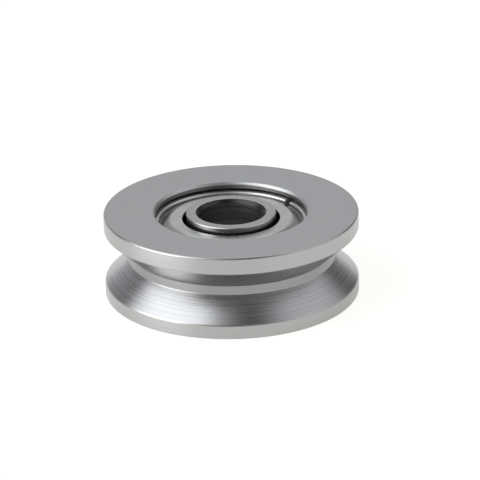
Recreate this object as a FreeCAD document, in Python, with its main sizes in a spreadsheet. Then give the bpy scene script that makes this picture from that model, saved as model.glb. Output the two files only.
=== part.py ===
import FreeCAD, Part
import math
import os
import Sketcher

# V groove wheel: a small shielded ball bearing with the groove turned into its outer ring.
# Millimetres and degrees. The origin is the middle of the wheel and +Z runs along the axle.

# Each row is a driving size: its alias, its value and what it measures.
SIZES = [
    ("wheel_d", 12.0, "outside diameter of both rims"),
    ("wheel_width", 4.0, "width of the outer ring"),
    ("inner_setback", 0.08, "how far the inner ring's faces lie below the outer ring's"),
    ("bore_d", 3.0, "diameter of the axle hole"),
    ("rim_width", 0.725, "rim between side face and groove, before edges are broken"),
    ("groove_angle", 85.0, "full angle between the two flanks"),
    ("groove_floor", 0.44, "width of the flat at the bottom of the groove"),
    ("groove_shift", 0.05, "distance of the groove's middle below mid-width"),
    ("groove_edge_break", 0.09, "chamfer where a flank meets its rim"),
    ("rim_chamfer", 0.085, "chamfer between side face and rim"),
    ("ball_d", 1.5875, "ball diameter"),
    ("ball_count", 6, "number of balls"),
    ("pitch_d", 5.5, "diameter of the circle through the ball centres"),
    ("race_conformity", 0.52, "raceway radius as a part of the ball diameter"),
    ("race_play", 0.005, "gap between ball and raceway, each side"),
    ("outer_shoulder", 0.24, "height of the outer ring's shoulders over its raceway"),
    ("inner_shoulder", 0.165, "height of the inner ring's shoulders over its raceway"),
    ("bore_chamfer", 0.16, "chamfer at each end of the axle hole"),
    ("inner_edge_break", 0.04, "chamfer round the inner ring's faces"),
    ("seat_depth", 0.73, "side face down to the ledge that the shield sits on"),
    ("seat_ledge", 0.26, "width of that ledge"),
    ("lip_chamfer", 0.12, "chamfer round the mouth of the recess"),
    ("snap_groove_depth", 0.14, "depth of the snap ring's groove, and rise of its taper"),
    ("shield_sheet", 0.15, "thickness of the shield's sheet"),
    ("shield_play", 0.03, "gap between the shield's rim and its seat"),
    ("shield_rim", 0.16, "width of the shield's flat rim"),
    ("shield_slope", 0.51, "radial run of the shield's slope"),
    ("shield_rise", 0.22, "height of the shield's raised flat over its rim"),
    ("shield_gap", 0.18, "gap between the shield's hole and the inner ring"),
    ("snap_height", 0.16, "thickness of the snap ring along the axle"),
    ("snap_reach", 0.14, "how far the snap ring stands out over the shield's rim"),
    ("snap_play", 0.02, "gap between the snap ring and the wall of its groove"),
    ("snap_split", 0.28, "gap between the snap ring's two ends"),
    ("cage_sheet", 0.12, "thickness of the cage's sheet"),
    ("cage_width", 0.7, "radial width of the cage's ribbon"),
    ("pocket_play", 0.03, "gap between a ball and its pocket"),
    ("tab_width", 0.32, "width of a clinching tab"),
    ("tab_bend", 0.05, "chamfer round the back of a tab's bends"),
    ("tab_play", 0.01, "gap between a tab's leg and the other half"),
    ("tab_grip", 0.22, "how far a tab reaches over the other half"),
]

# Where the two snap rings' gaps point, in degrees from +X towards +Y.
UPPER_SPLIT_AT = 43.0
LOWER_SPLIT_AT = 223.0

# Places that follow from the sizes, as expressions of the sheet's cells.
WHEEL_R = "sizes.wheel_d / 2"
HALF_WIDTH = "sizes.wheel_width / 2"
INNER_HALF_WIDTH = f"({HALF_WIDTH} - sizes.inner_setback)"
PITCH_R = "sizes.pitch_d / 2"
BALL_R = "sizes.ball_d / 2"
RACE_R = "sizes.race_conformity * sizes.ball_d"
OUTER_RACE_R = f"({PITCH_R} + {BALL_R} + sizes.race_play)"
INNER_RACE_R = f"({PITCH_R} - {BALL_R} - sizes.race_play)"
OUTER_LAND_R = f"({OUTER_RACE_R} - sizes.outer_shoulder)"
INNER_LAND_R = f"({INNER_RACE_R} + sizes.inner_shoulder)"

FLANK_SLOPE = "tan(sizes.groove_angle / 2)"
GROOVE_MOUTH = "(sizes.wheel_width - 2 * sizes.rim_width)"
GROOVE_DEPTH = f"(({GROOVE_MOUTH} - sizes.groove_floor) / 2 / {FLANK_SLOPE})"
GROOVE_FLOOR_R = f"({WHEEL_R} - {GROOVE_DEPTH})"

SEAT_R = f"({OUTER_LAND_R} + sizes.seat_ledge)"
SEAT_Z = f"({HALF_WIDTH} - sizes.seat_depth)"
SNAP_GROOVE_R = f"({SEAT_R} + sizes.snap_groove_depth)"

SHIELD_RIM_R = f"({SEAT_R} - sizes.shield_play)"
SHIELD_SLOPE_OUT_R = f"({SHIELD_RIM_R} - sizes.shield_rim)"
SHIELD_SLOPE_IN_R = f"({SHIELD_SLOPE_OUT_R} - sizes.shield_slope)"
SHIELD_HOLE_R = f"({INNER_LAND_R} + sizes.shield_gap)"
SHIELD_RIM_TOP_Z = f"({SEAT_Z} + sizes.shield_sheet)"
SHIELD_FLAT_Z = f"({SEAT_Z} + sizes.shield_rise)"
SHIELD_BEND_SHIFT = "sizes.shield_sheet * tan(atan(sizes.shield_rise / sizes.shield_slope) / 2)"

SNAP_TOP_Z = f"({SHIELD_RIM_TOP_Z} + sizes.snap_height)"
SNAP_OUT_R = f"({SNAP_GROOVE_R} - sizes.snap_play)"
SNAP_IN_R = f"({SHIELD_RIM_R} - sizes.snap_reach)"

POCKET_R = f"({BALL_R} + sizes.pocket_play)"
POCKET_BACK_R = f"({POCKET_R} + sizes.cage_sheet)"
CAGE_OUT_R = f"({PITCH_R} + sizes.cage_width / 2)"
CAGE_IN_R = f"({PITCH_R} - sizes.cage_width / 2)"

# How far a cutting profile is drawn past the surface that it cuts.
OVERCUT = 0.3

# Two lengths closer than this are the same.
SAME = 1e-5

doc = FreeCAD.newDocument("v_groove_wheel")


def make_sheet():
    sheet = doc.addObject("Spreadsheet::Sheet", "sizes")
    for row, (alias, size, meaning) in enumerate(SIZES, start=1):
        sheet.set(f"A{row}", alias)
        sheet.set(f"B{row}", str(size))
        sheet.setAlias(f"B{row}", alias)
        sheet.set(f"C{row}", meaning)
    doc.recompute()
    return sheet


sizes = make_sheet()


def value(expression):
    """What an expression of the sheet's cells comes to."""
    return float(sizes.evalExpression(str(expression)))


def new_body(name):
    body = doc.addObject("PartDesign::Body", name)
    body.Label = name
    return body


def origin_part(body, role):
    return next(part for part in body.Origin.OriginFeatures if part.Role == role)


def new_sketch(body, name, plane):
    sketch = body.newObject("Sketcher::SketchObject", name)
    sketch.AttachmentSupport = [(origin_part(body, plane), "")]
    sketch.MapMode = "FlatFace"
    return sketch


def bind(sketch, kind, *places, to):
    """Adds a dimension to the sketch and ties it to an expression."""
    index = sketch.addConstraint(Sketcher.Constraint(kind, *places, value(to)))
    sketch.setExpression(f"Constraints[{index}]", str(to))


def draw_polygon(sketch, corners):
    """A closed outline whose corners stand at (across, up) expressions from the sketch's origin."""
    spots = [FreeCAD.Vector(value(across), value(up), 0) for across, up in corners]
    count = len(spots)
    for n in range(count):
        sketch.addGeometry(Part.LineSegment(spots[n], spots[(n + 1) % count]))
    for n in range(count):
        sketch.addConstraint(Sketcher.Constraint("Coincident", n, 2, (n + 1) % count, 1))
    for n, (across, up) in enumerate(corners):
        bind(sketch, "DistanceX", -1, 1, n, 1, to=across)
        bind(sketch, "DistanceY", -1, 1, n, 1, to=up)


def draw_circle(sketch, across, radius):
    """A circle whose centre lies on the sketch's horizontal axis."""
    centre = FreeCAD.Vector(value(across), 0, 0)
    ring = sketch.addGeometry(Part.Circle(centre, FreeCAD.Vector(0, 0, 1), value(radius)))
    sketch.addConstraint(Sketcher.Constraint("PointOnObject", ring, 3, -1))
    bind(sketch, "DistanceX", -1, 1, ring, 3, to=across)
    bind(sketch, "Radius", ring, to=radius)


def turned(body, kind, name, corners):
    """A full turn about Z of a (radius, height) outline: PartDesign's Revolution or Groove."""
    sketch = new_sketch(body, f"{name}_profile", "XZ_Plane")
    draw_polygon(sketch, corners)
    return spin(body, kind, name, sketch)


def spin(body, kind, name, sketch):
    feature = body.newObject(f"PartDesign::{kind}", name)
    feature.Profile = sketch
    feature.ReferenceAxis = (sketch, ["V_Axis"])
    feature.Angle = 360
    doc.recompute()
    return feature


def cut_raceway(body, name, centre_r):
    """The round-bottomed track that the balls run in."""
    sketch = new_sketch(body, f"{name}_profile", "XZ_Plane")
    draw_circle(sketch, centre_r, RACE_R)
    return spin(body, "Groove", name, sketch)


def mirror_across_width(body, name, feature):
    mirrored = body.newObject("PartDesign::Mirrored", name)
    mirrored.Originals = [feature]
    mirrored.MirrorPlane = (origin_part(body, "XY_Plane"), [""])
    body.Tip = mirrored
    doc.recompute()
    return mirrored


def near(one, other):
    return abs(one - other) < SAME


def edges_where(shape, fits):
    """Names of the shape's edges that pass the test."""
    edges = enumerate(shape.Edges, start=1)
    return [f"Edge{number}" for number, edge in edges if not edge.Degenerated and fits(edge)]


def is_ring(edge, places):
    """Whether the edge is a circle about Z with one of the (radius, height) places."""
    circle = edge.Curve
    if not isinstance(circle, Part.Circle) or not near(math.hypot(*circle.Center[:2]), 0):
        return False
    return any(near(circle.Radius, radius) and near(circle.Center.z, height) for radius, height in places)


def dress(body, kind, name, size_name, size, fits):
    """A Chamfer or a Fillet on those edges of the body's last feature that pass the test."""
    base = body.Tip
    feature = body.newObject(f"PartDesign::{kind}", name)
    feature.Base = (base, edges_where(base.Shape, fits))
    feature.setExpression(size_name, size)
    doc.recompute()
    return feature


def chamfer_rings(body, name, places, size):
    dress(body, "Chamfer", name, "Size", size, lambda edge: is_ring(edge, places))


def make_outer_ring():
    body = new_body("outer_ring")
    turned(body, "Revolution", "ring_blank", [
        (OUTER_LAND_R, f"-{HALF_WIDTH}"),
        (WHEEL_R, f"-{HALF_WIDTH}"),
        (WHEEL_R, HALF_WIDTH),
        (OUTER_LAND_R, HALF_WIDTH),
    ])
    cut_v_groove(body)
    cut_raceway(body, "outer_raceway", f"{OUTER_RACE_R} - {RACE_R}")
    recess = cut_shield_recess(body)
    mirror_across_width(body, "shield_recess_lower", recess)
    break_ring_edges(body)
    return body


def cut_v_groove(body):
    """Two straight flanks, the flat between them, and a chamfer where each flank meets its rim."""
    clear_r = f"({WHEEL_R} + {OVERCUT})"
    flank_end_r = f"({WHEEL_R} - sizes.groove_edge_break)"
    half_floor = "sizes.groove_floor / 2"
    half_flanks = f"({half_floor} + ({flank_end_r} - {GROOVE_FLOOR_R}) * {FLANK_SLOPE})"
    half_mouth = f"({GROOVE_MOUTH} / 2 + sizes.groove_edge_break)"
    turned(body, "Groove", "v_groove", [
        (GROOVE_FLOOR_R, f"-sizes.groove_shift - {half_floor}"),
        (flank_end_r, f"-sizes.groove_shift - {half_flanks}"),
        (WHEEL_R, f"-sizes.groove_shift - {half_mouth}"),
        (clear_r, f"-sizes.groove_shift - {half_mouth}"),
        (clear_r, f"-sizes.groove_shift + {half_mouth}"),
        (WHEEL_R, f"-sizes.groove_shift + {half_mouth}"),
        (flank_end_r, f"-sizes.groove_shift + {half_flanks}"),
        (GROOVE_FLOOR_R, f"-sizes.groove_shift + {half_floor}"),
    ])


def cut_shield_recess(body):
    """Ledge and seat for the shield, then the snap ring's groove with its tapered upper side."""
    inside_r = f"({OUTER_LAND_R} - {OVERCUT})"
    above_z = f"({HALF_WIDTH} + {OVERCUT})"
    mouth_r = f"({SEAT_R} + sizes.lip_chamfer)"
    return turned(body, "Groove", "shield_recess_upper", [
        (inside_r, SEAT_Z),
        (SEAT_R, SEAT_Z),
        (SEAT_R, f"{SHIELD_RIM_TOP_Z} - sizes.snap_play"),
        (SNAP_GROOVE_R, f"{SHIELD_RIM_TOP_Z} - sizes.snap_play"),
        (SNAP_GROOVE_R, SNAP_TOP_Z),
        (SEAT_R, f"{SNAP_TOP_Z} + sizes.snap_groove_depth"),
        (SEAT_R, f"{HALF_WIDTH} - sizes.lip_chamfer"),
        (mouth_r, HALF_WIDTH),
        (mouth_r, above_z),
        (inside_r, above_z),
    ])


def break_ring_edges(body):
    rim_edges = [(value(WHEEL_R), z) for z in (value(HALF_WIDTH), -value(HALF_WIDTH))]
    chamfer_rings(body, "rim_chamfers", rim_edges, "sizes.rim_chamfer")


def make_inner_ring():
    body = new_body("inner_ring")
    turned(body, "Revolution", "ring_blank", [
        ("sizes.bore_d / 2", f"-{INNER_HALF_WIDTH}"),
        (INNER_LAND_R, f"-{INNER_HALF_WIDTH}"),
        (INNER_LAND_R, INNER_HALF_WIDTH),
        ("sizes.bore_d / 2", INNER_HALF_WIDTH),
    ])
    cut_raceway(body, "inner_raceway", f"{INNER_RACE_R} + {RACE_R}")
    side_z = value(INNER_HALF_WIDTH)
    bore_edges = [(value("sizes.bore_d / 2"), z) for z in (side_z, -side_z)]
    face_edges = [(value(INNER_LAND_R), z) for z in (side_z, -side_z)]
    chamfer_rings(body, "bore_chamfers", bore_edges, "sizes.bore_chamfer")
    chamfer_rings(body, "face_chamfers", face_edges, "sizes.inner_edge_break")
    return body


def make_shield(name, placement):
    """Pressed washer: a flat rim on the ledge, a slope, and a raised flat that reaches to the inner ring."""
    body = new_body(name)
    rim_low = SEAT_Z
    rim_high = SHIELD_RIM_TOP_Z
    flat_low = SHIELD_FLAT_Z
    flat_high = f"({SHIELD_FLAT_Z} + sizes.shield_sheet)"
    slope_out_low = f"({SHIELD_SLOPE_OUT_R} - {SHIELD_BEND_SHIFT})"
    slope_in_low = f"({SHIELD_SLOPE_IN_R} - {SHIELD_BEND_SHIFT})"
    turned(body, "Revolution", "sheet", [
        (SHIELD_HOLE_R, flat_low),
        (slope_in_low, flat_low),
        (slope_out_low, rim_low),
        (SHIELD_RIM_R, rim_low),
        (SHIELD_RIM_R, rim_high),
        (SHIELD_SLOPE_OUT_R, rim_high),
        (SHIELD_SLOPE_IN_R, flat_high),
        (SHIELD_HOLE_R, flat_high),
    ])
    body.Placement = placement
    return body


def make_snap_ring(name, placement):
    """Flat spring wire bent to a C. Before it is placed its gap points towards -X."""
    body = new_body(name)
    sketch = new_sketch(body, "wire_section", "XZ_Plane")
    draw_polygon(sketch, [
        (SNAP_IN_R, SHIELD_RIM_TOP_Z),
        (SNAP_OUT_R, SHIELD_RIM_TOP_Z),
        (SNAP_OUT_R, SNAP_TOP_Z),
        (SNAP_IN_R, SNAP_TOP_Z),
    ])
    wire = body.newObject("PartDesign::Revolution", "bent_wire")
    wire.Profile = sketch
    wire.ReferenceAxis = (sketch, ["V_Axis"])
    wire.Midplane = True
    wire.setExpression("Angle", f"360 deg - 2 * asin(sizes.snap_split / ({SNAP_IN_R} + {SNAP_OUT_R}))")
    doc.recompute()
    body.Placement = placement
    return body


def make_cage_half(name):
    """Half a ribbon cage below the plane where the halves meet: flat webs and half-round pockets."""
    body = new_body(name)
    ribbon = new_sketch(body, "ribbon_outline", "XY_Plane")
    draw_circle(ribbon, 0, CAGE_OUT_R)
    draw_circle(ribbon, 0, CAGE_IN_R)
    webs = body.newObject("PartDesign::Pad", "webs")
    webs.Profile = ribbon
    webs.Reversed = True
    webs.setExpression("Length", "sizes.cage_sheet")
    doc.recompute()
    pocket_round(body, "Pad", "pocket_backs", POCKET_BACK_R)
    past_pockets = f"({CAGE_OUT_R} + {POCKET_BACK_R} + {OVERCUT})"
    cut_through(body, "cut_outside", [past_pockets, CAGE_OUT_R])
    cut_through(body, "cut_inside", [CAGE_IN_R])
    cut_through(body, "cut_above", [past_pockets], downward=False)
    pocket_round(body, "Pocket", "pockets", POCKET_R)
    return body


def pocket_round(body, kind, name, radius):
    """A radial cylinder at every ball, added to the half or cut out of it."""
    sketch = new_sketch(body, f"{name}_outline", "YZ_Plane")
    sketch.setExpression(".AttachmentOffset.Base.z", PITCH_R)
    draw_circle(sketch, 0, radius)
    cylinder = body.newObject(f"PartDesign::{kind}", name)
    cylinder.Profile = sketch
    cylinder.Midplane = True
    cylinder.setExpression("Length", f"sizes.cage_width + 2 * {POCKET_BACK_R}")
    doc.recompute()
    repeat_round(body, cylinder)


def repeat_round(body, feature):
    """The feature once for every ball, round the axle."""
    pattern = body.newObject("PartDesign::PolarPattern", f"{feature.Label}_round")
    pattern.Originals = [feature]
    pattern.Axis = (origin_part(body, "Z_Axis"), [""])
    pattern.Angle = 360
    pattern.setExpression("Occurrences", "sizes.ball_count")
    body.Tip = pattern
    doc.recompute()
    return pattern


def cut_through(body, name, radii, downward=True):
    """Cuts away the disc, or the ring between two radii, above the halves' plane and below it."""
    sketch = new_sketch(body, f"{name}_outline", "XY_Plane")
    for radius in radii:
        draw_circle(sketch, 0, radius)
    pocket = body.newObject("PartDesign::Pocket", name)
    pocket.Profile = sketch
    pocket.Type = "ThroughAll"
    pocket.Midplane = downward
    pocket.Reversed = not downward
    doc.recompute()
    return pocket


def add_clinching_tabs(body):
    """A tab at the inner edge of every web, bent up and over onto the other half."""
    sketch = new_sketch(body, "tab_section", "XZ_Plane")
    turn = FreeCAD.Rotation(FreeCAD.Vector(0, 1, 0), 1)
    sketch.AttachmentOffset = FreeCAD.Placement(FreeCAD.Vector(), turn)
    sketch.setExpression(".AttachmentOffset.Rotation.Angle", "180 / sizes.ball_count")
    root_r = f"({CAGE_IN_R} + sizes.tab_grip)"
    leg_r = f"({CAGE_IN_R} - sizes.tab_play)"
    back_r = f"({leg_r} - sizes.cage_sheet)"
    draw_polygon(sketch, [
        (root_r, "-sizes.cage_sheet"),
        (root_r, "0"),
        (leg_r, "0"),
        (leg_r, "sizes.cage_sheet"),
        (root_r, "sizes.cage_sheet"),
        (root_r, "2 * sizes.cage_sheet"),
        (f"{back_r} + sizes.tab_bend", "2 * sizes.cage_sheet"),
        (back_r, "2 * sizes.cage_sheet - sizes.tab_bend"),
        (back_r, "sizes.tab_bend - sizes.cage_sheet"),
        (f"{back_r} + sizes.tab_bend", "-sizes.cage_sheet"),
    ])
    tab = body.newObject("PartDesign::Pad", "tab")
    tab.Profile = sketch
    tab.Midplane = True
    tab.setExpression("Length", "sizes.tab_width")
    doc.recompute()
    repeat_round(body, tab)


def make_tabbed_half():
    body = make_cage_half("cage_tabbed_half")
    add_clinching_tabs(body)
    return body


def make_plain_half():
    body = make_cage_half("cage_plain_half")
    body.Placement = turned_over()
    return body


def make_ball(number):
    ball = doc.addObject("Part::Sphere", f"ball_{number}")
    ball.Label = f"ball_{number}"
    turn = f"{number - 1} * 360 / sizes.ball_count"
    ball.setExpression("Radius", BALL_R)
    ball.setExpression(".Placement.Base.x", f"{PITCH_R} * cos({turn})")
    ball.setExpression(".Placement.Base.y", f"{PITCH_R} * sin({turn})")
    return ball


def turned_over(split_at=0.0):
    """A half turn that puts an upper piece on the lower side, with its gap at the angle given."""
    lean = math.radians((split_at + 180) / 2)
    axis = FreeCAD.Vector(math.cos(lean), math.sin(lean), 0)
    return FreeCAD.Placement(FreeCAD.Vector(), FreeCAD.Rotation(axis, 180))


def as_drawn(split_at=180.0):
    return FreeCAD.Placement(FreeCAD.Vector(), FreeCAD.Rotation(FreeCAD.Vector(0, 0, 1), split_at - 180))


def check_document(pieces):
    for item in doc.Objects:
        if "Invalid" in item.State or "Error" in item.State:
            raise RuntimeError(f"{item.Name} ({item.Label}) failed: {item.State}")
    for piece in pieces:
        shape = piece.Shape
        if shape.isNull() or not shape.isValid() or len(shape.Solids) != 1:
            raise RuntimeError(f"{piece.Label} is not one valid solid")


def write_steps(pieces):
    os.makedirs("parts", exist_ok=True)
    for piece in pieces:
        piece.Shape.exportStep(f"parts/{piece.Label}.step")


def main():
    pieces = [make_outer_ring(), make_inner_ring()]
    pieces.append(make_shield("shield_upper", as_drawn()))
    pieces.append(make_shield("shield_lower", turned_over()))
    pieces.append(make_snap_ring("snap_ring_upper", as_drawn(UPPER_SPLIT_AT)))
    pieces.append(make_snap_ring("snap_ring_lower", turned_over(LOWER_SPLIT_AT)))
    pieces += [make_tabbed_half(), make_plain_half()]
    pieces += [make_ball(number + 1) for number in range(int(value("sizes.ball_count")))]
    doc.recompute()
    check_document(pieces)
    write_steps(pieces)
    for piece in pieces:
        box = piece.Shape.BoundBox
        print(
            f"{piece.Label:18} volume {piece.Shape.Volume:9.5f}"
            f"  x {box.XMin:7.3f} {box.XMax:7.3f}  z {box.ZMin:7.3f} {box.ZMax:7.3f}"
        )


main()
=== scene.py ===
import math

import bmesh
import bpy
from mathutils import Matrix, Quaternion, Vector


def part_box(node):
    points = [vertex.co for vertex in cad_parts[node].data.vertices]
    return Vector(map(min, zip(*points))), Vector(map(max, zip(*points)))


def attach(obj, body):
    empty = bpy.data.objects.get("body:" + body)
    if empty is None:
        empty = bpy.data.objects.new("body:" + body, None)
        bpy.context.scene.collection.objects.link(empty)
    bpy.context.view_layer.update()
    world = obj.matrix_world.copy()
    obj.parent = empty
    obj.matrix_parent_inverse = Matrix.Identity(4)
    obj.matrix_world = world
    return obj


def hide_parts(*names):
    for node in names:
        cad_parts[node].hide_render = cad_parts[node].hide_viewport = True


# V groove wheel: the turned steel rings, the pressed shields with their snap rings, and the balls and cage
# between them. Every turned piece takes its section from the frame and gets broken edges. The balls are
# finer spheres than in the frame, and the cage keeps its solids.

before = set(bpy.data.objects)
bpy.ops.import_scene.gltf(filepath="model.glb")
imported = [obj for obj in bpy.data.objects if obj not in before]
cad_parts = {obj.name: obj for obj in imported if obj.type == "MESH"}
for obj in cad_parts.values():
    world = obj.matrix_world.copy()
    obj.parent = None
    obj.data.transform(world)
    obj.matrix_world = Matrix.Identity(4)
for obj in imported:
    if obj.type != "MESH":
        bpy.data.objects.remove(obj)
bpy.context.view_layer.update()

MM = 0.001

WHEEL_R, HALF_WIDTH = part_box("outer_ring")[1].xz
BALL_COUNT = 6

# Two points of the frame's meshes closer than this are one point.
WELD = 0.0002 * MM

# Steps round every turned piece, steps of the arc at each broken edge, and rings and meridians of a ball.
TURN_STEPS = 288
EDGE_STEPS = 4
BALL_RINGS = 32
BALL_MERIDIANS = 64

# Radii of the broken edges: at the rims, at the lips of the recesses, elsewhere on both rings, and on the
# shields and snap rings. The bends of the shields' sheet are rounder.
RIM_EDGE = 0.06 * MM
LIP_EDGE = 0.05 * MM
RING_EDGE = 0.03 * MM
SHIELD_EDGE = 0.04 * MM
SHIELD_BEND = 0.3 * MM
SNAP_EDGE = 0.075 * MM

# An arc takes at most the first share of the shorter side beside its edge. Past each of its ends lies one
# more point, at most the second share of its radius away, which keeps the flat beyond evenly shaded.
ARC_SHARE = 0.47
FLAT_POINT_SHARE = 0.4

# How far an outline turns at a corner. Less than the first is no corner, less than the second is a point of
# a rounded stretch, and less than the third is a bend of the shields' sheet. Both corners of a chamfer turn
# by more than the last.
STRAIGHT_TURN = math.radians(1)
SMOOTH_TURN = math.radians(20)
BEND_TURN = math.radians(45)
CHAMFER_TURN = math.radians(10)

# Slanted sides shorter than the first length are the outer ring's chamfers. They are drawn shorter than in
# the frame, as long as the other two lengths, at the rims and at the lips of the recesses.
LONGEST_CHAMFER = 0.2 * MM
RIM_CHAMFER = 0.07 * MM
LIP_CHAMFER = 0.14 * MM

# The edges round the ends of a snap ring are sharper than this, and stay sharp in its shading.
SHARP_TURN = math.radians(50)

# Inside the first radius the outer ring is recess and raceway, in darker steel below the lip at each
# mouth. Outside it, whatever lies further from mid-width than the last is rim or side face.
RECESS_R = 3.75 * MM
LIP_HEIGHT = 0.14 * MM
RIM_FROM = 0.8 * HALF_WIDTH

# The inner ring's outside is in darker steel too, apart from this much beside each face.
INNER_EDGE_BAND = 0.05 * MM

# Painted shade for the shade in the recess darkens the shields' sheet from this far inside the bend
# between its flat and its slope, to this far outside it.
SHADE_INSIDE = 0.08 * MM
SHADE_OUTSIDE = 0.2 * MM

# Colours of the rings' steel: ground, on the rims, on the groove's flanks and floor, darker inside the
# recesses and on the inner ring's outside, in the bore and on its chamfers. The upper flank's colour is
# the lower flank's steel darkened by painted shade, as the upper flank faces down.
STEEL = (0.5, 0.502, 0.508)
RIM_STEEL = (0.507, 0.505, 0.497)
SHADED_UPPER_FLANK_STEEL = (0.365, 0.36, 0.35)
LOWER_FLANK_STEEL = (0.45, 0.452, 0.46)
FLOOR_STEEL = (0.38, 0.38, 0.38)
DARKENED_STEEL = (0.27, 0.27, 0.266)
BORE_STEEL = (0.24, 0.24, 0.238)
DARK_STEEL = (0.05, 0.05, 0.049)

# Colours of the other pieces. The shields' sheet has a second, darker colour on its slope: painted shade.
SHEET = (0.63, 0.635, 0.612)
SHADED_SHEET = (0.38, 0.382, 0.37)
WIRE = (0.75, 0.75, 0.737)
BALL_STEEL = (0.68, 0.68, 0.7)
RIBBON = (0.6, 0.59, 0.57)

# Most of what a noise node gives lies in this range.
NOISE_RANGE = (0.3, 0.7)

# Finer layers of noise in turning marks and grain, and in the clouds of a sheet, and how strong each layer
# of the marks is beside the coarser one before it.
FINE_DETAIL = 2.0
CLOUD_DETAIL = 3.0
LAYER_STRENGTH = 0.7

# Turned steel: size and depth of its grain, and the share by which its marks change its roughness.
GRAIN_SIZE = 0.05 * MM
GRAIN_DEPTH = 0.00012 * MM
MARKS_ROUGHEN = 0.15

# Pressed sheet: size and depth of its clouds and of its grain, and the shares by which the clouds change
# its colour and its roughness.
CLOUD_SIZE = 0.9 * MM
CLOUD_DEPTH = 0.0005 * MM
SHEET_GRAIN_SIZE = 0.06 * MM
SHEET_GRAIN_DEPTH = 0.0003 * MM
CLOUDS_TINT = 0.035
CLOUDS_ROUGHEN = 0.12

# A quarter turn, which spreads highlights across the turning marks.
ACROSS_MARKS = 0.25

# Camera, fitted to the ellipses of the rims in the photograph, and the distances between which it sees.
PHOTO_SIZE = 480
CAMERA_ELEVATION = math.radians(22.37)
CAMERA_ROLL = math.radians(1.06)
CAMERA_DISTANCE = 154 * MM
PIXELS_PER_MM = 21.18
WHEEL_CENTRE_PX = (231.7, 249.4)
SENSOR = 36.0
NEAREST = 0.01
FURTHEST = 5

# The studio: how bright it is between its lights, the elevations in degrees between which its bright
# horizon fades, the colour of its light, and what the camera sees of it.
DIM = 0.12
HORIZON_FADE = (0, 6)
STUDIO_COLOUR = (0.965, 0.98, 1.0, 1)
WHITE = (1, 1, 1, 1)

# Its soft lights: azimuth (from the back towards +X) and elevation of the middle, the angles from it
# at which the light starts and stops fading, all in degrees, and its brightness.
SOFT_LIGHTS = {
    "back_wall": (-8, 22, 12, 52, 0.43),
    "left_key": (-103, 45, 14, 40, 2.2),
    "left_low": (-114, 0, 12, 36, 3.7),
    "right_fill": (85, 43, 6, 40, 0.76),
    "top_back": (0, 50, 5, 18, 1.0),
    "overhead": (-147, 69, 4, 18, 0.5),
    "rear_right": (130, 14, 12, 42, 0.32),
    "rear_left": (-172, 14, 8, 34, 0.14),
}

# The floor reaches this far each way, and lies this far below the wheel, so that the two faces don't
# coincide.
FLOOR_REACH = 0.8
FLOOR_GAP = 0.005 * MM

# Its paper, and the glow that takes the paper's place by these shares for each kind of ray.
PAPER_COLOUR = (0.93, 0.93, 0.92, 1)
PAPER_ROUGHNESS = 0.9
PAPER_GLOSS = 0.1
GLOW_COLOUR = (1, 0.985, 0.965, 1)
GLOW_STRENGTH = 1.16
GLOW_SHARES = {"Camera": 0.78, "Glossy": 0.5, "Transmission": 0.5}


# Sections of turned pieces

def turned_section(node):
    """Corners of a turned node's section, as (radius, height) in order round its outline."""
    flesh = bmesh.new()
    flesh.from_mesh(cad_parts[node].data)
    bmesh.ops.remove_doubles(flesh, verts=flesh.verts, dist=WELD)
    everything = flesh.verts[:] + flesh.edges[:] + flesh.faces[:]
    cut = bmesh.ops.bisect_plane(flesh, geom=everything, dist=WELD, plane_co=(0, 0, 0), plane_no=(0, 1, 0))
    edges = [part for part in cut["geom_cut"] if isinstance(part, bmesh.types.BMEdge)]
    neighbours = {}
    for edge in edges:
        one, other = edge.verts
        if one.co.x > 0 and other.co.x > 0:
            neighbours.setdefault(one, []).append(other)
            neighbours.setdefault(other, []).append(one)
    start = min(neighbours, key=lambda corner: (corner.co.z, corner.co.x))
    outline = [start]
    here, before = max(neighbours[start], key=lambda corner: corner.co.x), start
    while here is not start:
        outline.append(here)
        ahead = next(corner for corner in neighbours[here] if corner is not before)
        here, before = ahead, here
    section = [Vector((corner.co.x, corner.co.z)) for corner in outline]
    flesh.free()
    return without_straight_points(section)


def cross(one, other):
    return one.x * other.y - one.y * other.x


def turn_at(before, here, after):
    """How far the outline turns at a point, in radians, counter-clockwise positive."""
    come = here - before
    leave = after - here
    return math.atan2(cross(come, leave), come.dot(leave))


def around(outline):
    """Each point of a closed outline with the points before and after it."""
    count = len(outline)
    return [(outline[n - 1], outline[n], outline[(n + 1) % count]) for n in range(count)]


def without_straight_points(outline):
    return [here for before, here, after in around(outline)
            if abs(turn_at(before, here, after)) > STRAIGHT_TURN]


def with_broken_edges(outline, radius_at):
    """The outline with an arc at every corner, and a point past each end of the arc.

    radius_at gives the arc's radius for a corner and how far the outline turns there.
    """
    points = []
    for before, here, after in around(outline):
        turn = abs(turn_at(before, here, after))
        radius = radius_at(here, turn)
        come, leave = (here - before).length, (after - here).length
        reach = ARC_SHARE * min(come, leave)
        if turn >= SMOOTH_TURN:
            reach = min(radius * math.tan(turn / 2), reach)
        towards = (before - here).normalized()
        away = (after - here).normalized()
        first = here + towards * reach
        last = here + away * reach
        points.append(first + towards * (FLAT_POINT_SHARE * min(radius, come / 2 - reach)))
        for step in range(EDGE_STEPS + 1):
            share = step / EDGE_STEPS
            points.append(first * (1 - share) ** 2 + here * 2 * share * (1 - share) + last * share ** 2)
        points.append(last + away * (FLAT_POINT_SHARE * min(radius, leave / 2 - reach)))
    return points


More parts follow.
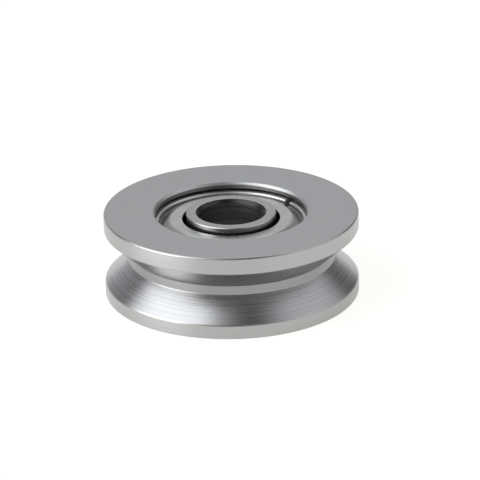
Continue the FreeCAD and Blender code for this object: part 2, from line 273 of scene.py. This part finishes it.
def with_worn_chamfers(outline, length_at):
    """The outline with each chamfer drawn in towards the edge that it was cut from.

    length_at gives the worn chamfer's length for its first corner.
    """
    worn = list(outline)
    count = len(outline)
    for n in range(count):
        before, here, there, after = (outline[(n + step) % count] for step in (-1, 0, 1, 2))
        come, side, leave = here - before, there - here, after - there
        slanted = min(abs(side.x), abs(side.y)) > WELD
        proud = min(turn_at(before, here, there), turn_at(here, there, after)) > CHAMFER_TURN
        if slanted and proud and side.length < LONGEST_CHAMFER:
            edge = here + come * cross(side, leave) / cross(come, leave)
            wear = 1 - length_at(here) / side.length
            worn[n] = here.lerp(edge, wear)
            worn[(n + 1) % count] = there.lerp(edge, wear)
    return worn


# Meshes

def put_in_scene(name, data):
    thing = bpy.data.objects.new(name, data)
    bpy.context.scene.collection.objects.link(thing)
    return thing


def new_piece(name, verts, faces, finishes, numbers):
    """A smooth mesh whose faces have the finishes of the numbers given."""
    mesh = bpy.data.meshes.new(name)
    mesh.from_pydata(verts, [], faces)
    for finish in finishes:
        mesh.materials.append(finish)
    mesh.polygons.foreach_set("material_index", numbers)
    mesh.shade_smooth()
    mesh.update()
    return put_in_scene(name, mesh)


def ring_at(angle, outline):
    """The outline's points at an angle about the axle."""
    return [(point.x * math.cos(angle), point.x * math.sin(angle), point.y) for point in outline]


def skin_between(here, there, count):
    """Faces between two rings of count points, which are numbered from here and from there."""
    return [(here + n, here + (n + 1) % count, there + (n + 1) % count, there + n) for n in range(count)]


def lathe(name, outline, finishes, surface_at):
    """Turns a closed outline about the axle.

    finishes holds the finish of each surface by the surface's name, and surface_at names the surface for
    the middle of a side of the outline, as (radius, height).
    """
    count = len(outline)
    verts, faces = [], []
    for step in range(TURN_STEPS):
        verts += ring_at(math.tau * step / TURN_STEPS, outline)
        faces += skin_between(step * count, (step + 1) % TURN_STEPS * count, count)
    surfaces = list(finishes)
    numbers = [surfaces.index(surface_at((here + ahead) / 2)) for before, here, ahead in around(outline)]
    return new_piece(name, verts, faces, finishes.values(), numbers * TURN_STEPS)


# The pieces

def make_outer_ring():
    def chamfer_at(corner):
        return LIP_CHAMFER if corner.x < RECESS_R else RIM_CHAMFER

    def radius_at(corner, turn):
        if corner.x > RECESS_R:
            return RIM_EDGE
        return LIP_EDGE if abs(corner.y) > HALF_WIDTH - LIP_HEIGHT else RING_EDGE

    section = with_worn_chamfers(turned_section("outer_ring"), chamfer_at)
    groove = [corner.x for corner in section
              if RECESS_R < corner.x < WHEEL_R - WELD and abs(corner.y) < RIM_FROM]

    def surface_at(middle):
        height = abs(middle.y)
        if middle.x < RECESS_R:
            return "recess" if height < HALF_WIDTH - LIP_HEIGHT else "side"
        if height > HALF_WIDTH - WELD:
            return "side"
        if middle.x < min(groove) + WELD:
            return "groove_floor"
        if middle.x > max(groove) or height > RIM_FROM:
            return "rim"
        return "upper_flank" if middle.y > 0 else "lower_flank"

    outline = with_broken_edges(section, radius_at)
    ring = lathe("turned_outer_ring", outline, outer_ring_finishes(), surface_at)
    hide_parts("outer_ring")
    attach(ring, "wheel")


def make_inner_ring():
    section = turned_section("inner_ring")
    face_z = max(corner.y for corner in section)
    bore_r = min(corner.x for corner in section)
    mouth_r = min(corner.x for corner in section if corner.y > face_z - WELD)

    def surface_at(middle):
        if middle.x < bore_r + WELD:
            return "bore"
        if middle.x < mouth_r:
            return "chamfer"
        return "face" if abs(middle.y) > face_z - INNER_EDGE_BAND else "land"

    outline = with_broken_edges(section, lambda corner, turn: RING_EDGE)
    ring = lathe("turned_inner_ring", outline, inner_ring_finishes(), surface_at)
    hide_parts("inner_ring")
    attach(ring, "hub")


def make_shield(side, sheet):
    def radius_at(corner, turn):
        return SHIELD_BEND if turn < BEND_TURN else SHIELD_EDGE

    outline = with_broken_edges(turned_section(f"shield_{side}"), radius_at)
    shield = lathe(f"pressed_shield_{side}", outline, {"sheet": sheet}, lambda middle: "sheet")
    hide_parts(f"shield_{side}")
    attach(shield, "wheel")


def widest_gap(angles):
    """The two angles that the widest gap between neighbours lies between, the second past the first."""
    angles = sorted(angles)
    pairs = list(zip(angles, angles[1:] + [angles[0] + math.tau]))
    return max(pairs, key=lambda pair: pair[1] - pair[0])


def make_snap_ring(side, wire):
    """The C of spring wire: its section, swept round the axle from one end to the other."""
    spots = [vertex.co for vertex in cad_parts[f"snap_ring_{side}"].data.vertices]
    radii = [math.hypot(spot.x, spot.y) for spot in spots]
    low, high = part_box(f"snap_ring_{side}")
    corners = [(min(radii), low.z), (max(radii), low.z), (max(radii), high.z), (min(radii), high.z)]
    outline = with_broken_edges([Vector(corner) for corner in corners], lambda corner, turn: SNAP_EDGE)
    end, start = widest_gap([math.atan2(spot.y, spot.x) for spot in spots])
    sweep = math.tau - (start - end)
    count = len(outline)
    verts, faces = [], []
    for step in range(TURN_STEPS):
        verts += ring_at(start + sweep * step / TURN_STEPS, outline)
        faces += skin_between(step * count, (step + 1) * count, count)
    verts += ring_at(start + sweep, outline)
    faces.append(tuple(reversed(range(count))))
    faces.append(tuple(TURN_STEPS * count + n for n in range(count)))
    ring = new_piece(f"wire_snap_ring_{side}", verts, faces, [wire], [0] * len(faces))
    ring.data.set_sharp_from_angle(angle=SHARP_TURN)
    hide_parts(f"snap_ring_{side}")
    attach(ring, "wheel")


def make_ball(number, steel):
    low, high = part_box(f"ball_{number}")
    radius = (high.z - low.z) / 2
    flesh = bmesh.new()
    bmesh.ops.create_uvsphere(flesh, u_segments=BALL_MERIDIANS, v_segments=BALL_RINGS, radius=radius)
    bmesh.ops.translate(flesh, verts=flesh.verts, vec=(low + high) / 2)
    mesh = bpy.data.meshes.new(f"lapped_ball_{number}")
    flesh.to_mesh(mesh)
    flesh.free()
    mesh.materials.append(steel)
    mesh.shade_smooth()
    ball = put_in_scene(f"lapped_ball_{number}", mesh)
    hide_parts(f"ball_{number}")
    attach(ball, f"rolling_ball_{number}")


def dress_cage(ribbon):
    for node in ("cage_tabbed_half", "cage_plain_half"):
        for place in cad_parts[node].material_slots:
            place.material = ribbon


# Materials

class Nodes:
    """A node tree with short ways to add to it. Each hands on what comes out of the node that it adds."""

    def __init__(self, tree):
        self.tree = tree

    def add(self, kind, **settings):
        """A new node, as it is."""
        node = self.tree.nodes.new(kind)
        for name, setting in settings.items():
            setattr(node, name, setting)
        return node

    def join(self, source, target):
        """Links a socket to the target, or sets the target to a plain value."""
        if isinstance(source, bpy.types.NodeSocket):
            self.tree.links.new(source, target)
        else:
            target.default_value = source

    def calculate(self, operation, *values):
        node = self.add("ShaderNodeMath", operation=operation)
        for value, socket in zip(values, node.inputs):
            self.join(value, socket)
        return node.outputs[0]

    def ramp(self, value, start, end, low=0.0, high=1.0, interpolation="LINEAR"):
        """low where the value is at start or beyond, high where it is at end or beyond."""
        node = self.add("ShaderNodeMapRange", interpolation_type=interpolation)
        for name, number in (("From Min", start), ("From Max", end), ("To Min", low), ("To Max", high)):
            node.inputs[name].default_value = number
        self.join(value, node.inputs["Value"])
        return node.outputs["Result"]

    def mix(self, share, one, other, kind="RGBA"):
        """one where the share is 0, other where it is 1."""
        node = self.add("ShaderNodeMix", data_type=kind)
        for name, value in (("Factor", share), ("A", one), ("B", other)):
            self.join(value, node.inputs[name])
        return node.outputs["Result"]


class Finish(Nodes):
    """A metal with marks made of nodes."""

    def __init__(self, name, colour, roughness):
        self.material = bpy.data.materials.new(name)
        self.material.use_nodes = True
        super().__init__(self.material.node_tree)
        self.shader = self.tree.nodes["Principled BSDF"]
        self.shader.inputs["Metallic"].default_value = 1.0
        self.colour = colour
        self.roughness = roughness
        self.place = self.add("ShaderNodeTexCoord").outputs["Object"]

    def place_parts(self):
        """X, Y and Z of a place on the piece, and its distance from the axle's axis."""
        split = self.add("ShaderNodeSeparateXYZ")
        self.join(self.place, split.inputs[0])
        across, along, height = split.outputs
        across_square = self.calculate("MULTIPLY", across, across)
        along_square = self.calculate("MULTIPLY", along, along)
        square = self.calculate("ADD", across_square, along_square)
        return across, along, height, self.calculate("POWER", square, 0.5)

    def turned_noise(self, spacing, wander):
        """Noise in rings about the axle, spacing apart. wander is how fast they change on the way round."""
        across, along, height, radius = self.place_parts()
        eastward = self.calculate("DIVIDE", across, radius)
        northward = self.calculate("DIVIDE", along, radius)
        spot = self.add("ShaderNodeCombineXYZ")
        self.join(self.calculate("DIVIDE", radius, spacing), spot.inputs[0])
        self.join(self.calculate("DIVIDE", height, spacing), spot.inputs[1])
        self.join(self.calculate("MULTIPLY", eastward, wander), spot.inputs[2])
        noise = self.add("ShaderNodeTexNoise", noise_dimensions="4D")
        noise.inputs["Scale"].default_value = 1.0
        noise.inputs["Detail"].default_value = FINE_DETAIL
        noise.inputs["Roughness"].default_value = LAYER_STRENGTH
        self.join(spot.outputs[0], noise.inputs["Vector"])
        self.join(self.calculate("MULTIPLY", northward, wander), noise.inputs["W"])
        return noise.outputs["Fac"]

    def even_noise(self, size, detail):
        noise = self.add("ShaderNodeTexNoise")
        noise.inputs["Scale"].default_value = 1 / size
        noise.inputs["Detail"].default_value = detail
        self.join(self.place, noise.inputs["Vector"])
        return noise.outputs["Fac"]

    def tint(self, noise, spread):
        """Makes the colour darker and lighter by the share spread, as the noise goes."""
        darker = [part * (1 - spread) for part in self.colour] + [1]
        lighter = [part * (1 + spread) for part in self.colour] + [1]
        colour = self.mix(self.ramp(noise, *NOISE_RANGE), darker, lighter)
        self.join(colour, self.shader.inputs["Base Color"])

    def paint_shade_outside(self, colour, start, end):
        """Paints shade: another, darker colour outside the radius end. It fades in from the radius start.
        """
        radius = self.place_parts()[3]
        share = self.ramp(radius, start, end, interpolation="SMOOTHSTEP")
        plain = self.shader.inputs["Base Color"].links[0].from_socket
        self.join(self.mix(share, plain, (*colour, 1)), self.shader.inputs["Base Color"])

    def roughen(self, noise, spread):
        """Makes the roughness lower and higher by the share spread, as the noise goes."""
        low, high = self.roughness * (1 - spread), self.roughness * (1 + spread)
        self.join(self.ramp(noise, *NOISE_RANGE, low, high), self.shader.inputs["Roughness"])

    def spread_across_marks(self, amount):
        """Spreads highlights across the turning marks."""
        along_marks = self.add("ShaderNodeTangent", direction_type="RADIAL", axis="Z")
        self.join(along_marks.outputs["Tangent"], self.shader.inputs["Tangent"])
        self.shader.inputs["Anisotropic"].default_value = amount
        self.shader.inputs["Anisotropic Rotation"].default_value = ACROSS_MARKS

    def emboss(self, *layers):
        """Bump from (noise, depth) layers, the first nearest the metal."""
        normal = None
        for noise, depth in layers:
            bump = self.add("ShaderNodeBump")
            bump.inputs["Strength"].default_value = 1.0
            bump.inputs["Distance"].default_value = depth
            self.join(noise, bump.inputs["Height"])
            if normal:
                self.join(normal, bump.inputs["Normal"])
            normal = bump.outputs["Normal"]
        self.join(normal, self.shader.inputs["Normal"])


def turned_finish(name, colour, roughness, spacing, depth, tint=0.04, wander=0.15, brushed=0.0):
    """Turned or ground steel. spacing and depth are those of its marks, in millimetres.

    tint is how far the marks change the colour, wander how fast they change on their way round, and
    brushed how far highlights spread across them.
    """
    finish = Finish(name, colour, roughness)
    finish.spread_across_marks(brushed)
    marks = finish.turned_noise(spacing * MM, wander)
    grain = finish.even_noise(GRAIN_SIZE, FINE_DETAIL)
    finish.tint(marks, tint)
    finish.roughen(marks, MARKS_ROUGHEN)
    finish.emboss((marks, depth * MM), (grain, GRAIN_DEPTH))
    return finish.material


def outer_ring_finishes():
    return {
        "side": turned_finish("ground_side_face", STEEL, 0.36, spacing=0.05, depth=0.0006, tint=0.02),
        "rim": turned_finish("turned_rim", RIM_STEEL, 0.32, spacing=0.09, depth=0.0012, brushed=0.75),
        # The upper flank's steel is darker than the lower flank's by painted shade, as it faces down.
        "upper_flank": turned_finish("shaded_turned_upper_flank", SHADED_UPPER_FLANK_STEEL, 0.3,
                                     spacing=0.09, depth=0.0024, tint=0.12, wander=0.08, brushed=0.6),
        "lower_flank": turned_finish("turned_lower_flank", LOWER_FLANK_STEEL, 0.28,
                                     spacing=0.085, depth=0.0034, tint=0.17, wander=0.08, brushed=0.6),
        "groove_floor": turned_finish("turned_groove_floor", FLOOR_STEEL, 0.32,
                                      spacing=0.06, depth=0.001, brushed=0.75),
        "recess": turned_finish("recess_steel", DARKENED_STEEL, 0.3, spacing=0.08, depth=0.001),
    }


def inner_ring_finishes():
    return {
        "face": turned_finish("ground_inner_face", STEEL, 0.28, spacing=0.05, depth=0.0006),
        "land": turned_finish("turned_inner_land", DARKENED_STEEL, 0.28, spacing=0.08, depth=0.001),
        "bore": turned_finish("ground_bore", BORE_STEEL, 0.42, spacing=0.15, depth=0.002, tint=0.2),
        "chamfer": turned_finish("bore_chamfer", DARK_STEEL, 0.3, spacing=0.08, depth=0.001),
    }


def snap_ring_finish():
    return turned_finish("spring_wire", WIRE, 0.34, spacing=0.1, depth=0.0006)


def sheet_finish(name, colour, roughness, painted_shade=None):
    """An even satin with faint clouds and grain, and painted shade where the last argument gives it."""
    finish = Finish(name, colour, roughness)
    clouds = finish.even_noise(CLOUD_SIZE, CLOUD_DETAIL)
    grain = finish.even_noise(SHEET_GRAIN_SIZE, FINE_DETAIL)
    finish.tint(clouds, CLOUDS_TINT)
    if painted_shade:
        finish.paint_shade_outside(*painted_shade)
    finish.roughen(clouds, CLOUDS_ROUGHEN)
    finish.emboss((clouds, CLOUD_DEPTH), (grain, SHEET_GRAIN_DEPTH))
    return finish.material


def shield_finish():
    """Pressed sheet with painted shade on its slope."""
    section = turned_section("shield_upper")
    flat_z = max(corner.y for corner in section)
    bend_r = max(corner.x for corner in section if corner.y > flat_z - WELD)
    painted_shade = (SHADED_SHEET, bend_r - SHADE_INSIDE, bend_r + SHADE_OUTSIDE)
    return sheet_finish("pressed_shield_sheet", SHEET, 0.27, painted_shade)


def ball_finish():
    return sheet_finish("lapped_ball_steel", BALL_STEEL, 0.1)


def cage_finish():
    return sheet_finish("cage_ribbon", RIBBON, 0.35)


# The studio

def floor_paper():
    """Paper that partly glows for the camera and for metal, so that it is white but keeps its shadow."""
    paper = bpy.data.materials.new("floor_paper")
    paper.use_nodes = True
    nodes = Nodes(paper.node_tree)
    sheet = nodes.tree.nodes["Principled BSDF"]
    sheet.inputs["Base Color"].default_value = PAPER_COLOUR
    sheet.inputs["Roughness"].default_value = PAPER_ROUGHNESS
    sheet.inputs["Specular IOR Level"].default_value = PAPER_GLOSS
    glow = nodes.add("ShaderNodeEmission")
    glow.inputs["Color"].default_value = GLOW_COLOUR
    glow.inputs["Strength"].default_value = GLOW_STRENGTH
    rays = nodes.add("ShaderNodeLightPath").outputs
    share = 0.0
    for kind, part in GLOW_SHARES.items():
        share = nodes.calculate("MULTIPLY_ADD", rays[f"Is {kind} Ray"], part, share)
    both = nodes.add("ShaderNodeMixShader")
    nodes.join(share, both.inputs["Fac"])
    nodes.join(sheet.outputs[0], both.inputs[1])
    nodes.join(glow.outputs[0], both.inputs[2])
    nodes.join(both.outputs[0], nodes.tree.nodes["Material Output"].inputs["Surface"])
    return paper


def add_floor():
    mesh = bpy.data.meshes.new("floor")
    floor_z = -HALF_WIDTH - FLOOR_GAP
    corners = [(east * FLOOR_REACH, north * FLOOR_REACH, floor_z)
               for east, north in ((-1, -1), (1, -1), (1, 1), (-1, 1))]
    mesh.from_pydata(corners, [], [(0, 1, 2, 3)])
    mesh.materials.append(floor_paper())
    floor = put_in_scene("floor", mesh)


def direction(azimuth, elevation):
    """A direction from its two angles in degrees."""
    azimuth, elevation = math.radians(azimuth), math.radians(elevation)
    level = math.cos(elevation)
    return math.sin(azimuth) * level, math.cos(azimuth) * level, math.sin(elevation)


def soft_light(studio, place, azimuth, elevation, full, edge, brightness):
    """How bright one of the soft lights is, whichever way place lies."""
    facing = studio.add("ShaderNodeVectorMath", operation="DOT_PRODUCT")
    studio.join(place, facing.inputs[0])
    studio.join(direction(azimuth, elevation), facing.inputs[1])
    edge, full = math.cos(math.radians(edge)), math.cos(math.radians(full))
    return studio.ramp(facing.outputs["Value"], edge, full, high=brightness, interpolation="SMOOTHSTEP")


def add_world():
    """A dim studio with a white horizon and the soft lights."""
    world = bpy.data.worlds.new("studio")
    bpy.context.scene.world = world
    world.use_nodes = True
    studio = Nodes(world.node_tree)
    place = studio.add("ShaderNodeTexCoord").outputs["Generated"]
    split = studio.add("ShaderNodeSeparateXYZ")
    studio.join(place, split.inputs[0])
    full, edge = (math.sin(math.radians(angle)) for angle in HORIZON_FADE)
    light = studio.ramp(split.outputs["Z"], edge, full, high=1 - DIM, interpolation="SMOOTHSTEP")
    for facts in SOFT_LIGHTS.values():
        light = studio.calculate("ADD", light, soft_light(studio, place, *facts))
    light = studio.calculate("ADD", light, DIM)
    seen = studio.add("ShaderNodeLightPath").outputs["Is Camera Ray"]
    background = studio.tree.nodes["Background"].inputs
    studio.join(studio.mix(seen, light, 1.0, kind="FLOAT"), background["Strength"])
    studio.join(studio.mix(seen, STUDIO_COLOUR, WHITE), background["Color"])


def add_camera():
    camera = bpy.data.cameras.new("camera")
    camera.sensor_width = SENSOR
    camera.lens = SENSOR * PIXELS_PER_MM * (CAMERA_DISTANCE / MM) / PHOTO_SIZE
    camera.shift_x = (PHOTO_SIZE / 2 - WHEEL_CENTRE_PX[0]) / PHOTO_SIZE
    camera.shift_y = (WHEEL_CENTRE_PX[1] - PHOTO_SIZE / 2) / PHOTO_SIZE
    camera.clip_start = NEAREST
    camera.clip_end = FURTHEST
    holder = put_in_scene("camera", camera)
    back = Vector((0, -math.cos(CAMERA_ELEVATION), math.sin(CAMERA_ELEVATION)))
    holder.location = back * CAMERA_DISTANCE
    holder.rotation_mode = "QUATERNION"
    holder.rotation_quaternion = (-back).to_track_quat("-Z", "Y") @ Quaternion((0, 0, 1), -CAMERA_ROLL)
    bpy.context.scene.camera = holder


def main():
    bpy.context.scene.view_settings.view_transform = "Standard"
    make_outer_ring()
    make_inner_ring()
    sheet, wire, ball_steel = shield_finish(), snap_ring_finish(), ball_finish()
    for side in ("upper", "lower"):
        make_shield(side, sheet)
        make_snap_ring(side, wire)
    for number in range(1, BALL_COUNT + 1):
        make_ball(number, ball_steel)
    dress_cage(cage_finish())
    add_floor()
    add_world()
    add_camera()


main()
